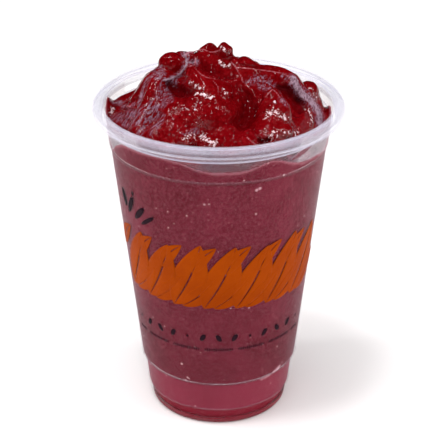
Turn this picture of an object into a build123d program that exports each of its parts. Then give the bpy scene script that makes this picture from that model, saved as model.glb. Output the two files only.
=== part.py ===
from build123d import *

import math
import os

# A thick berry smoothie heaped above the rim of a thin, clear, disposable cup.
# The frame: +Z is up, the origin is the centre of the ring the cup stands on,
# and -Y is the front. Millimetres throughout.

# ---- the cup: sizes ---------------------------------------------------------

rim_radius = 47.5           # outside of the rolled bead, a 95 mm cup
bead_mid_z = 124.4          # height of the middle of the bead
bead_half_width = 2.55      # bead section, across the wall
bead_half_height = 2.7      # bead section, up and down
curl_end = 125.0            # the curl stops this far round below the middle

wall_radius_at_zero = 28.61  # outside of the tapered wall, run down to z = 0
wall_taper = 0.1129          # outward run of the wall for each mm of height
wall = 0.6                   # wall thickness

stack_z = 110.9             # upper stacking shoulder, under the rim
stack_step = 0.35           # the wall is this much wider above it
waist_z = 20.2              # lower stacking shoulder
waist_step = 0.93           # the wall is this much narrower below it
edge_z = 7.0                # edge just above the foot
edge_step = 1.0             # the foot is this much narrower again
shoulder_run = 0.55         # height that each shoulder takes

foot_round_z = 2.2          # the foot turns in from here down
foot_ring_radius = 25.2     # the ring that the cup stands on
foot_inner_radius = 23.4    # inside of the foot ring
base_rise = 2.4             # the base is pushed up inside the ring by this much
base_sag = 0.5              # and is a little lower at its middle

# ---- the smoothie: sizes ----------------------------------------------------

gap = 0.1                   # clearance between the drink and the cup
level = 114.6               # mean height where the drink leaves the wall
bank = 1.25                 # slope of the drink's edge, rise over run
bank_back = 0.45            # the same at the back, where it lies lower
pull_in = 0.035             # how fast that slope grows away from the wall

# Where the edge of the drink swells up or dips along the wall:
# direction in degrees from the front, turning to the right, rise, half spread.
edge_swells = [
    (-38.0, 4.2, 22.0),
    (30.0, 2.6, 11.0),
    (72.0, -2.6, 22.0),
    (96.0, 7.6, 7.0),
    (-72.0, -3.0, 9.0),
    (-96.0, 12.6, 8.0),
    (-128.0, 4.0, 22.0),
    (128.0, 2.4, 18.0),
]

# The heap is a pile of soft folds. Each is a rounded lobe with a crest at
# x, y, z, a half length, a half width, the turn of its length from +X in
# degrees, and how far it falls from its crest to its edge.
lobes = [
    (1.0, 4.0, 139.0, 33.0, 30.0, 0.0, 13.0),       # body of the heap
    (-19.4, -2.0, 140.6, 14.0, 10.0, 62.0, 9.0),    # big left fold
    (-26.0, -12.5, 130.0, 13.0, 8.0, 65.0, 8.0),    # its frothy foot
    (-13.4, 2.6, 144.7, 9.6, 6.5, 6.0, 7.0),        # lip behind the pocket
    (-3.0, 1.0, 145.4, 9.0, 5.5, 170.0, 7.0),       # ridge under the crests
    (-3.4, 4.5, 147.6, 5.4, 3.0, 12.0, 5.0),        # left crest
    (2.2, 1.0, 148.6, 3.1, 2.8, 0.0, 5.0),          # right crest
    (9.0, 0.5, 143.2, 8.0, 6.0, 165.0, 6.0),        # shoulder beside it
    (18.5, 1.0, 139.8, 12.0, 6.0, 172.0, 6.0),      # right shoulder
    (25.5, -1.0, 137.0, 6.5, 6.0, 150.0, 7.0),      # end of the shoulder
    (33.6, 4.5, 130.8, 5.0, 4.6, 110.0, 6.0),       # lobe behind it
    (31.5, -6.0, 129.0, 4.4, 12.0, 24.0, 9.0),      # frothy strip
    (-7.0, -13.5, 141.6, 12.5, 7.5, 128.0, 8.0),    # smooth tongue
    (19.8, -13.0, 136.6, 5.5, 5.0, 90.0, 7.0),      # peaked fold on the right
    (19.0, -22.0, 130.2, 11.0, 9.0, 60.0, 8.0),     # its foot
    (-14.0, -24.0, 130.0, 15.0, 9.0, 12.0, 8.0),    # front left swell
    (6.0, -28.0, 128.0, 13.0, 7.0, 172.0, 7.0),     # front swell
    (-33.0, 13.0, 124.6, 12.0, 6.0, 28.0, 7.0),     # low fold behind it
    (-36.0, 0.0, 120.6, 8.0, 9.0, 0.0, 6.0),        # lap up to the left wall
    (-8.0, 16.0, 138.2, 11.0, 6.0, 35.0, 7.0),      # back left fold
    (11.0, 15.0, 135.8, 11.0, 6.0, 150.0, 7.0),     # back right fold
    (1.0, 23.5, 132.0, 12.0, 5.5, 4.0, 7.0),        # low fold across the back
    (-20.0, 14.0, 132.4, 8.0, 6.0, 110.0, 8.0),     # left end of it
    (22.0, 14.0, 131.4, 8.0, 6.0, 65.0, 8.0),       # right end of it
]

# Hollows pressed into the folds, in the same terms with a depth at the end.
hollows = [
    (-17.4, -3.5, 6.0, 4.6, 25.0, 3.4),             # the round pocket
    (-10.4, -3.6, 2.8, 2.4, 0.0, 1.8),              # the small pocket beside it
    (-17.5, -14.0, 5.0, 4.0, 60.0, 2.6),            # under the tongue's edge
    (7.0, -20.0, 11.0, 8.0, 60.0, 2.4),             # the smooth bowl in front
    (27.0, -9.0, 5.5, 4.0, 70.0, 3.6),              # behind the peaked fold
    (-1.0, 13.0, 5.0, 4.0, 60.0, 2.2),              # between the back folds
]

blend = 1.2                 # softness of the creases between folds
facets = 72                 # facets of the drink round the axis
rings = 27                  # rings of facets from the wall to the middle


def cup_outside(z):
    """Outside radius of the wall between the foot and the bead."""
    r = wall_radius_at_zero + wall_taper * z
    r += stack_step * ramp((z - stack_z) / shoulder_run + 0.5)
    r -= waist_step * (1.0 - ramp((z - waist_z) / shoulder_run + 0.5))
    r -= edge_step * (1.0 - ramp((z - edge_z) / shoulder_run + 0.5))
    return r


def ramp(t):
    return min(1.0, max(0.0, t))


def edge_height(azimuth):
    """Height at which the drink leaves the wall, by direction."""
    z = level
    for direction, rise, spread in edge_swells:
        away = (azimuth - direction + 180.0) % 360.0 - 180.0
        z += rise * math.exp(-((away / spread) ** 2))
    return z


def across(x, y, cx, cy, half_length, half_width, turn):
    """Squared distance from a lobe's crest in units of its half sizes."""
    c, s = math.cos(math.radians(turn)), math.sin(math.radians(turn))
    u = ((x - cx) * c + (y - cy) * s) / half_length
    v = (-(x - cx) * s + (y - cy) * c) / half_width
    return u * u + v * v


def top_height(x, y):
    """Height of the drink's top surface."""
    r = math.hypot(x, y)
    azimuth = math.degrees(math.atan2(x, -y)) if r > 1e-6 else 0.0
    edge = edge_height(azimuth)
    inward = max(0.0, cup_outside(edge) - wall - gap - r)
    heights = [level + 2.0]
    for cx, cy, cz, half_length, half_width, turn, fall in lobes:
        q = across(x, y, cx, cy, half_length, half_width, turn)
        if q < 6.0:
            heights.append(cz - fall * q)
    highest = max(heights)
    z = highest + blend * math.log(sum(math.exp((h - highest) / blend) for h in heights))
    for cx, cy, half_length, half_width, turn, depth in hollows:
        z -= depth * math.exp(-1.6 * across(x, y, cx, cy, half_length, half_width, turn) ** 1.5)
    # near the wall the drink banks down to its edge, or up to it
    back = ramp(-1.6 * math.cos(math.radians(azimuth)) - 0.2)
    slope = bank + (bank_back - bank) * back * back * (3.0 - 2.0 * back)
    bank_top = edge + slope * inward + pull_in * inward * inward
    bank_foot = edge - 1.6 * inward
    z = -blend * math.log(math.exp(-(z - level) / blend) + math.exp(-(bank_top - level) / blend)) + level
    return max(z, bank_foot) if inward > 0.05 else edge


# ---- the cup ----------------------------------------------------------------

bead_mid_r = rim_radius - bead_half_width
half = shoulder_run / 2.0


def wall_points(inset, top_z):
    """The wall's line from the foot up to top_z, moved in by inset."""
    stations = [foot_round_z]
    for z in (edge_z, waist_z, stack_z):
        stations += [z - half, z + half]
    stations.append(top_z)
    return [(cup_outside(z) - inset, z) for z in stations]


outer_line = wall_points(0.0, bead_mid_z - 1.6)
inner_line = wall_points(wall, bead_mid_z - 1.6)
base_top = base_rise + wall
foot_turn = (foot_ring_radius + 0.2, 0.0)

with BuildPart() as cup:
    with BuildSketch(Plane.XZ) as section:
        with BuildLine():
            Polyline(*outer_line)
            # the wall curls outward over the rim and back under itself
            curl_in = EllipticalCenterArc(
                (bead_mid_r, bead_mid_z), bead_half_width - wall, bead_half_height - wall,
                start_angle=-curl_end, arc_size=180.0 + curl_end)
            curl_out = EllipticalCenterArc(
                (bead_mid_r, bead_mid_z), bead_half_width, bead_half_height,
                start_angle=-curl_end, arc_size=180.0 + curl_end)
            Line(outer_line[-1], curl_in @ 1)
            Line(curl_in @ 0, curl_out @ 0)
            Line(curl_out @ 1, inner_line[-1])
            Polyline(*reversed(inner_line))
            # inside of the base: in from the wall and across to the axis
            Line(inner_line[0], (inner_line[0][0] - 0.9, base_top))
            Line((inner_line[0][0] - 0.9, base_top), (foot_inner_radius - 1.6, base_top))
            Line((foot_inner_radius - 1.6, base_top), (0.0, base_top - base_sag))
            Line((0.0, base_top - base_sag), (0.0, base_rise - base_sag))
            # underside: out to the ring, down, and round to the wall
            Line((0.0, base_rise - base_sag), (foot_inner_radius - 1.6, base_rise))
            Line((foot_inner_radius - 1.6, base_rise), (foot_inner_radius, 0.5))
            Line((foot_inner_radius, 0.5), (foot_inner_radius + 0.4, 0.0))
            Line((foot_inner_radius + 0.4, 0.0), foot_turn)
            Line(foot_turn, (foot_turn[0] + 1.1, 0.6))
            Line((foot_turn[0] + 1.1, 0.6), outer_line[0])
        make_face()
    revolve(axis=Axis.Z)

cup.part.label = "cup"

# ---- the smoothie -----------------------------------------------------------


def drink_radius(z):
    """Radius of the drink where it lies against the wall."""
    return cup_outside(z) - wall - gap


def at(radius, z, i):
    a = 2.0 * math.pi * (i % facets) / facets
    return (radius * math.sin(a), -radius * math.cos(a), z)


# The edge of the drink on the wall, one point for each facet.
lowest_edge = stack_z + half + 0.5
edge = []
for i in range(facets):
    x, y, z = at(drink_radius(level), level, i)
    z = max(top_height(x, y), lowest_edge)
    edge.append((drink_radius(z), z))

# Rings of the top surface, from the wall in to the last ring round the middle.
# They lie closer together near the wall, where the surface turns down.
top_rings = []
for k in range(rings):
    share = 1.0 - (k / rings) ** 1.08
    ring = []
    for i in range(facets):
        radius = edge[i][0] * share
        x, y, z = at(radius, 0.0, i)
        ring.append((x, y, top_height(x, y) if k else edge[i][1]))
    top_rings.append(ring)
middle = (0.0, 0.0, top_height(0.0, 0.0))

# Rings down the side, which follow the cup's shoulders.
side_rings = [[at(drink_radius(z), z, i) for i in range(facets)]
              for z in (stack_z + half, stack_z - half, waist_z + half, waist_z - half,
                        edge_z + half, edge_z - half, foot_round_z + 1.2)]
floor_z = base_top + gap
side_rings.append([at(inner_line[0][0] - 1.2, floor_z, i) for i in range(facets)])


def facet(*corners):
    return Face(Wire.make_polygon([Vector(*c) for c in corners], close=True))


skin = []
for upper, lower in zip([top_rings[0]] + side_rings, side_rings):
    for i in range(facets):
        j = (i + 1) % facets
        if upper is top_rings[0]:
            skin.append(facet(lower[i], lower[j], upper[j]))
            skin.append(facet(lower[i], upper[j], upper[i]))
        else:
            skin.append(facet(lower[i], lower[j], upper[j], upper[i]))
for outer, inner in zip(top_rings, top_rings[1:]):
    for i in range(facets):
        j = (i + 1) % facets
        skin.append(facet(outer[i], outer[j], inner[j]))
        skin.append(facet(outer[i], inner[j], inner[i]))
last = top_rings[-1]
for i in range(facets):
    skin.append(facet(last[i], last[(i + 1) % facets], middle))
skin.append(facet(*reversed(side_rings[-1])))

drink = Solid(Shell(skin))

with BuildPart() as smoothie:
    add(drink)

smoothie.part.label = "smoothie"

# ---- files ------------------------------------------------------------------

os.makedirs("parts", exist_ok=True)
export_step(cup.part, "parts/cup.step")
export_step(smoothie.part, "parts/smoothie.step")

for piece in (cup.part, smoothie.part):
    box = piece.bounding_box()
    print(piece.label, len(piece.solids()), "solid", round(piece.volume), "mm3", len(piece.faces()),
          "faces", box.min, box.max)
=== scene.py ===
import math

import bpy
import numpy as np
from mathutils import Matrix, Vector


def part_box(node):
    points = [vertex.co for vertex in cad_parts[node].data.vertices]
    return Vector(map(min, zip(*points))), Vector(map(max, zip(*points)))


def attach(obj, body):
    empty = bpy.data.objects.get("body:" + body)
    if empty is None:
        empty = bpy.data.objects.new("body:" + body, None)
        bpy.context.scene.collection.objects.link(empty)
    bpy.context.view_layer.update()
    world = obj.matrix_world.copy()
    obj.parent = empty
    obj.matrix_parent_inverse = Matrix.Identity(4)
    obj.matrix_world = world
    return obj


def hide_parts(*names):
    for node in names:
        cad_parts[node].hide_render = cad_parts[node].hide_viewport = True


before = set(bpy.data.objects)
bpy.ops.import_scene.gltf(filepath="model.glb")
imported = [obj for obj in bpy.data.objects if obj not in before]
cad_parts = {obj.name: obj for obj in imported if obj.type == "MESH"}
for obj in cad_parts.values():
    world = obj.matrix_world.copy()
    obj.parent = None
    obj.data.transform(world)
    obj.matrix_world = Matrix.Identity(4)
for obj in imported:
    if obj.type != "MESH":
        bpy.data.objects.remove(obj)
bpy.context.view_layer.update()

# ---------------------------------------------------------------------------
# The frame: sizes are the CAD's, in millimetres, times MM, which comes from the
# packed cup itself. The drink and the cup are re-modelled finer in its place.
# ---------------------------------------------------------------------------

cup_low, cup_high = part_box("cup")
drink_low, drink_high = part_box("smoothie")
MM = (cup_high.z - cup_low.z) / 127.1
RIM_R = (cup_high.x - cup_low.x) / 2.0 / MM

NECK_Z = 120.0       # a fine moulded line round the neck
BEAD_Z, BEAD_W, BEAD_H = 124.4, 2.55, 2.7
WALL = 0.55
R0, TAPER = 28.61, 0.1129
STACK_Z, STACK_STEP = 110.9, 0.35
WAIST_Z, WAIST_STEP = 20.2, 0.93
EDGE_Z, EDGE_STEP = 7.0, 1.0
FOOT_Z, RING_R, RING_IN = 2.2, 25.2, 23.4
BASE_RISE, BASE_SAG = 2.4, 0.5
RUN = 0.55


# ---- small helpers ---------------------------------------------------------

def ramp(t):
    return np.clip(t, 0.0, 1.0)


def smooth(t):
    t = np.clip(t, 0.0, 1.0)
    return t * t * (3.0 - 2.0 * t)


def hashed(ix, iy, iz, seed):
    """A number in 0..1 for each lattice point, the same every run."""
    n = (ix.astype(np.int64) * 374761393 + iy.astype(np.int64) * 668265263
         + iz.astype(np.int64) * 2147483647 + seed * 1274126177) & 0xFFFFFFFF
    n = ((n ^ (n >> 13)) * 1274126177) & 0xFFFFFFFF
    n = (n ^ (n >> 16)) & 0xFFFFFFFF
    n = (n * 2246822519) & 0xFFFFFFFF
    n = n ^ (n >> 15)
    return (n & 0xFFFFFF).astype(np.float64) / float(0xFFFFFF)


def noise(x, y, z, size, seed):
    """Smooth noise in -1..1 with features of about `size` mm."""
    x, y, z = np.broadcast_arrays(x, y, z)
    x, y, z = x / size + 31.7, y / size + 17.3, z / size + 5.1
    ix, iy, iz = np.floor(x), np.floor(y), np.floor(z)
    fx, fy, fz = x - ix, y - iy, z - iz
    fx, fy, fz = (f * f * f * (f * (f * 6.0 - 15.0) + 10.0) for f in (fx, fy, fz))
    out = np.zeros_like(fx)
    for dx in (0, 1):
        wx = fx if dx else 1.0 - fx
        for dy in (0, 1):
            wy = fy if dy else 1.0 - fy
            for dz in (0, 1):
                wz = fz if dz else 1.0 - fz
                out += wx * wy * wz * hashed(ix + dx, iy + dy, iz + dz, seed)
    return out * 2.0 - 1.0


def smax(a, b, k):
    h = np.clip(0.5 + 0.5 * (a - b) / k, 0.0, 1.0)
    return b + (a - b) * h + k * h * (1.0 - h)


def smin(a, b, k):
    return -smax(-a, -b, k)


def mesh_from(name, verts, faces, material, smooth_shade=True):
    mesh = bpy.data.meshes.new(name)
    verts = np.asarray(verts, np.float32) * MM
    sizes = sorted({f.shape[1] for f in faces})
    total = sum(f.size for f in faces)
    count = sum(len(f) for f in faces)
    mesh.vertices.add(len(verts))
    mesh.vertices.foreach_set("co", verts.ravel())
    mesh.loops.add(total)
    mesh.polygons.add(count)
    loops = np.concatenate([f.ravel() for f in faces]).astype(np.int32)
    starts, at = [], 0
    for f in faces:
        starts.append(at + np.arange(len(f)) * f.shape[1])
        at += f.size
    mesh.loops.foreach_set("vertex_index", loops)
    mesh.polygons.foreach_set("loop_start", np.concatenate(starts).astype(np.int32))
    mesh.update(calc_edges=True)
    mesh.validate()
    mesh.polygons.foreach_set("use_smooth", [smooth_shade] * len(mesh.polygons))
    mesh.materials.append(material)
    obj = bpy.data.objects.new(name, mesh)
    bpy.context.scene.collection.objects.link(obj)
    return obj


def turned(name, profile, n, material):
    """A closed surface of revolution. The profile runs from axis to axis, outside first."""
    profile = np.asarray(profile, float)
    body = profile[1:-1]
    m = len(body)
    a = 2.0 * np.pi * np.arange(n) / n
    r, z = body[:, 0][:, None], body[:, 1][:, None]
    v = np.stack([r * np.sin(a), -r * np.cos(a), z + 0.0 * a], axis=2).reshape(-1, 3)
    v = np.vstack([v, [0.0, 0.0, profile[0][1]], [0.0, 0.0, profile[-1][1]]])
    i = np.arange(n)
    j = (i + 1) % n
    quads = []
    for k in range(m - 1):
        quads.append(np.stack([k * n + i, k * n + j, (k + 1) * n + j, (k + 1) * n + i], axis=1))
    first, last = m * n, m * n + 1
    tris = [np.stack([np.full(n, first), j, i], axis=1),
            np.stack([(m - 1) * n + i, (m - 1) * n + j, np.full(n, last)], axis=1)]
    return mesh_from(name, v, [np.concatenate(quads), np.concatenate(tris)], material)


def links(nt):
    return lambda a, b: nt.links.new(a, b)


# ---- the cup's line --------------------------------------------------------

def cup_outside(z):
    z = np.asarray(z, float)
    r = R0 + TAPER * z
    r = r + STACK_STEP * ramp((z - STACK_Z) / RUN + 0.5)
    r = r - WAIST_STEP * (1.0 - ramp((z - WAIST_Z) / RUN + 0.5))
    r = r - EDGE_STEP * (1.0 - ramp((z - EDGE_Z) / RUN + 0.5))
    return r


def cup_line(z):
    """The same line with the small rounds that moulding leaves at each shoulder."""
    z = np.asarray(z, float)
    r = R0 + TAPER * z
    r = r + STACK_STEP * smooth((z - STACK_Z) / 0.9 + 0.5)
    r = r - WAIST_STEP * (1.0 - smooth((z - WAIST_Z) / 0.8 + 0.5))
    r = r - EDGE_STEP * (1.0 - smooth((z - EDGE_Z) / 0.9 + 0.5))
    r = r + 0.16 * np.exp(-((z - WAIST_Z - 0.75) / 0.42) ** 2)
    r = r + 0.12 * np.exp(-((z - EDGE_Z - 0.8) / 0.40) ** 2)
    r = r + 0.14 * np.exp(-((z - STACK_Z - 0.85) / 0.45) ** 2)
    r = r + 0.16 * np.exp(-((z - NECK_Z) / 0.35) ** 2)
    return r


# ---------------------------------------------------------------------------
# The drink's top, as in the CAD: soft folds, hollows, and an edge on the wall.
# ---------------------------------------------------------------------------

LEVEL, BANK, BANK_BACK, PULL_IN, GAP = 114.6, 1.25, 0.45, 0.035, 0.1
BLEND = 1.2
EDGE_SWELLS = [(-38.0, 4.2, 22.0), (30.0, 2.6, 11.0), (72.0, -2.6, 22.0), (95.0, 8.6, 11.0),
               (-72.0, -3.0, 9.0), (-97.0, 10.2, 12.0), (-128.0, 4.0, 22.0), (128.0, 2.4, 18.0)]
LOBES = [
    (1.0, 4.0, 139.0, 33.0, 30.0, 0.0, 13.0),
    (-19.4, -2.0, 140.6, 14.0, 10.0, 62.0, 9.0),
    (-26.0, -12.5, 130.0, 13.0, 8.0, 65.0, 8.0),
    (-13.4, 2.6, 144.7, 9.6, 6.5, 6.0, 7.0),
    (-3.0, 1.0, 145.4, 9.0, 5.5, 170.0, 7.0),
    (-3.4, 4.5, 147.6, 5.4, 3.0, 12.0, 5.0),
    (2.2, 1.0, 148.6, 3.1, 2.8, 0.0, 5.0),
    (9.0, 0.5, 143.2, 8.0, 6.0, 165.0, 6.0),
    (18.5, 1.0, 139.8, 12.0, 6.0, 172.0, 6.0),
    (25.5, -1.0, 137.0, 6.5, 6.0, 150.0, 7.0),
    (33.6, 4.5, 130.8, 5.0, 4.6, 110.0, 6.0),
    (31.5, -6.0, 129.0, 4.4, 12.0, 24.0, 9.0),
    (-7.0, -13.5, 141.6, 12.5, 7.5, 128.0, 8.0),
    (19.8, -13.0, 136.6, 5.5, 5.0, 90.0, 7.0),
    (19.0, -22.0, 130.2, 11.0, 9.0, 60.0, 8.0),
    (-14.0, -24.0, 130.0, 15.0, 9.0, 12.0, 8.0),
    (6.0, -28.0, 128.0, 13.0, 7.0, 172.0, 7.0),
    (-33.0, 13.0, 124.6, 12.0, 6.0, 28.0, 7.0),
    (-36.0, 0.0, 120.6, 8.0, 9.0, 0.0, 6.0),
    (-8.0, 16.0, 138.2, 11.0, 6.0, 35.0, 7.0),
    (11.0, 15.0, 135.8, 11.0, 6.0, 150.0, 7.0),
    (1.0, 23.5, 132.0, 12.0, 5.5, 4.0, 7.0),
    (-20.0, 14.0, 132.4, 8.0, 6.0, 110.0, 8.0),
    (22.0, 14.0, 131.4, 8.0, 6.0, 65.0, 8.0),
]
HOLLOWS = [
    (-17.5, -14.0, 5.0, 4.0, 60.0, 2.6),
    (7.0, -20.0, 11.0, 8.0, 60.0, 2.4),
    (27.0, -9.0, 5.5, 4.0, 70.0, 3.6),
    (-1.0, 13.0, 5.0, 4.0, 60.0, 2.2),
]


# the front of the wetted line, as azimuth and height
EDGE_FRONT = np.array([
    (-61.5, 116.6), (-57.1, 118.5), (-52.3, 119.0), (-46.8, 119.1), (-41.1, 119.2), (-34.8, 119.5), (-29.0, 119.6),
    (-23.7, 119.4), (-19.6, 119.1), (-16.6, 118.5), (-13.7, 117.6), (-10.3, 116.8), (-6.5, 116.2), (-1.7, 115.6),
    (3.1, 115.8), (10.3, 115.7), (14.2, 116.1), (18.2, 117.1), (22.2, 118.2), (25.3, 118.8), (29.1, 118.7),
    (33.2, 117.6), (37.1, 116.1), (41.9, 114.9), (47.2, 113.9), (52.1, 113.6), (58.9, 113.3), (65.2, 112.7)])
FRONT_AZ = np.arange(-90.0, 91.0, 1.0)
FRONT_Z = np.interp(FRONT_AZ, EDGE_FRONT[:, 0], EDGE_FRONT[:, 1])
FRONT_Z = np.convolve(np.pad(FRONT_Z, 2, mode="edge"), (0.1, 0.22, 0.36, 0.22, 0.1), mode="valid")


def edge_height(azimuth):
    z = np.full(np.shape(azimuth), LEVEL)
    for direction, rise, spread in EDGE_SWELLS:
        away = (azimuth - direction + 180.0) % 360.0 - 180.0
        z = z + rise * np.exp(-((away / spread) ** 2))
    turned_az = (np.asarray(azimuth) + 180.0) % 360.0 - 180.0
    here = smooth((turned_az + 72.0) / 12.0) * smooth((72.0 - turned_az) / 12.0)
    return z + (np.interp(turned_az, FRONT_AZ, FRONT_Z) - z) * here


def across(x, y, cx, cy, a, b, turn):
    c, s = math.cos(math.radians(turn)), math.sin(math.radians(turn))
    u = ((x - cx) * c + (y - cy) * s) / a
    v = (-(x - cx) * s + (y - cy) * c) / b
    return u * u + v * v


def top_height(x, y):
    r = np.hypot(x, y)
    azimuth = np.degrees(np.arctan2(x, -y))
    edge = edge_height(azimuth)
    inward = np.maximum(0.0, cup_outside(edge) - WALL - GAP - r)
    # the folds wander a little, so that no crest is a plain oval
    wx = x + 0.8 * noise(x, y, 0.0, 7.0, 11) + 0.3 * noise(x, y, 0.0, 2.8, 12)
    wy = y + 0.8 * noise(x, y, 9.0, 7.0, 13) + 0.3 * noise(x, y, 9.0, 2.8, 14)
    total = np.exp((LEVEL + 2.0 - 130.0) / BLEND) + np.zeros_like(r)
    for cx, cy, cz, a, b, turn, fall in LOBES:
        q = across(wx, wy, cx, cy, a, b, turn)
        total += np.exp((np.maximum(cz - fall * q, 60.0) - 130.0) / BLEND)
    z = 130.0 + BLEND * np.log(total)
    for cx, cy, a, b, turn, depth in HOLLOWS:
        z = z - depth * np.exp(-1.6 * across(wx, wy, cx, cy, a, b, turn) ** 1.5)
    back = ramp(-1.6 * np.cos(np.radians(azimuth)) - 0.2)
    slope = BANK + (BANK_BACK - BANK) * back * back * (3.0 - 2.0 * back)
    bank = edge + slope * inward + PULL_IN * inward * inward
    z = smin(z, bank, 3.0)
    return smax(z, edge - 1.05 * inward, 0.6), edge


# ---------------------------------------------------------------------------
# The drink as a field on a grid: the top, the wall, then separate folds that
# overhang, thin fold edges, and dips. Its surface is then taken out as a mesh.
# ---------------------------------------------------------------------------

STEP = 0.515
HALF = 44.0
nx = int(2 * HALF / STEP) + 1
gx = np.linspace(-HALF, HALF, nx)
FLOOR_Z = BASE_RISE + WALL - 0.12
low = [FLOOR_Z - 1.0, FLOOR_Z + 0.2, 4.0, 5.2]
low += list(np.arange(5.8, 8.9, 0.45)) + [10.0, 12.0, 14.5, 17.0, 18.6]
low += list(np.arange(19.2, 21.9, 0.45)) + list(np.arange(23.0, 106.0, 6.0))
zs = np.array(low + [107.0, 108.2, 109.2] + list(np.arange(110.0, 113.4, 0.8)) + list(np.arange(113.8, 152.5, STEP)))
X2, Y2 = np.meshgrid(gx, gx, indexing="ij")
H2, E2 = top_height(X2, Y2)
gxh, gyh = np.gradient(H2, gx, gx)
S2 = 1.0 / np.sqrt(1.0 + np.minimum(gxh ** 2 + gyh ** 2, 6.0))
R2 = np.hypot(X2, Y2)
F = (zs[None, None, :] - H2[:, :, None]) * S2[:, :, None]

TOUCH = 0.12        # how far the drink reaches into the wall


def block(lo, hi):
    """Index ranges of the grid round a box."""
    i0, i1 = np.searchsorted(gx, lo[0]), np.searchsorted(gx, hi[0])
    j0, j1 = np.searchsorted(gx, lo[1]), np.searchsorted(gx, hi[1])
    k0, k1 = np.searchsorted(zs, lo[2]), np.searchsorted(zs, hi[2])
    return slice(max(i0, 0), i1), slice(max(j0, 0), j1), slice(max(k0, 0), k1)


def blob(centre, radii, turn=0.0, tilt=0.0, k=0.8, cut=False):
    """Adds, or cuts, an egg shape. Turn is about +Z, then tilt lowers its long end."""
    c = np.array(centre, float)
    big = max(radii) + 3.0
    s = block(c - big, c + big)
    x = gx[s[0]][:, None, None] - c[0]
    y = gx[s[1]][None, :, None] - c[1]
    z = zs[s[2]][None, None, :] - c[2]
    ct, st = math.cos(math.radians(turn)), math.sin(math.radians(turn))
    u, v = x * ct + y * st, -x * st + y * ct
    cl, sl = math.cos(math.radians(tilt)), math.sin(math.radians(tilt))
    u, w = u * cl - z * sl, u * sl + z * cl
    k0 = np.sqrt((u / radii[0]) ** 2 + (v / radii[1]) ** 2 + (w / radii[2]) ** 2) + 1e-6
    k1 = np.sqrt((u / radii[0] ** 2) ** 2 + (v / radii[1] ** 2) ** 2 + (w / radii[2] ** 2) ** 2) + 1e-6
    d = k0 * (k0 - 1.0) / k1
    F[s] = smax(F[s], -d, k) if cut else smin(F[s], d, k)


def curve(points, n=24):
    """A smooth line through a few points."""
    p = np.asarray(points, float)
    if len(p) == 1:
        return np.repeat(p, n, axis=0)
    t = np.concatenate([[0.0], np.cumsum(np.linalg.norm(np.diff(p, axis=0), axis=1))])
    t /= t[-1]
    if len(p) == 2:
        s = np.linspace(0, 1, n)[:, None]
        return p[0] * (1 - s) + p[1] * s
    m = np.gradient(p, t, axis=0)
    s = np.linspace(0, 1, n)
    i = np.clip(np.searchsorted(t, s, side="right") - 1, 0, len(p) - 2)
    h = (t[i + 1] - t[i])[:, None]
    u = ((s - t[i]) / (t[i + 1] - t[i]))[:, None]
    return ((2 * u ** 3 - 3 * u ** 2 + 1) * p[i] + (u ** 3 - 2 * u ** 2 + u) * h * m[i]
            + (-2 * u ** 3 + 3 * u ** 2) * p[i + 1] + (u ** 3 - u ** 2) * h * m[i + 1])


def rope(points, radius, k=0.5, cut=False, n=24):
    """Adds, or cuts, a thin fold edge along a line. Radius may be (middle, ends)."""
    c = curve(points, n)
    mid, end = radius if isinstance(radius, tuple) else (radius, radius)
    t = np.linspace(-1, 1, n)
    rad = end + (mid - end) * (1 - t ** 2)
    pad = max(mid, end) + 2.0
    s = block(c.min(0) - pad, c.max(0) + pad)
    x = gx[s[0]][:, None, None]
    y = gx[s[1]][None, :, None]
    z = zs[s[2]][None, None, :]
    d = np.full(F[s].shape, 1e3)
    for a, b, ra, rb in zip(c[:-1], c[1:], rad[:-1], rad[1:]):
        ab = b - a
        h = np.clip(((x - a[0]) * ab[0] + (y - a[1]) * ab[1] + (z - a[2]) * ab[2]) / (ab @ ab), 0, 1)
        dist = np.sqrt((x - a[0] - h * ab[0]) ** 2 + (y - a[1] - h * ab[1]) ** 2
                       + (z - a[2] - h * ab[2]) ** 2) - (ra + (rb - ra) * h)
        np.minimum(d, dist, out=d)
    F[s] = smax(F[s], -d, k) if cut else smin(F[s], d, k)


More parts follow.
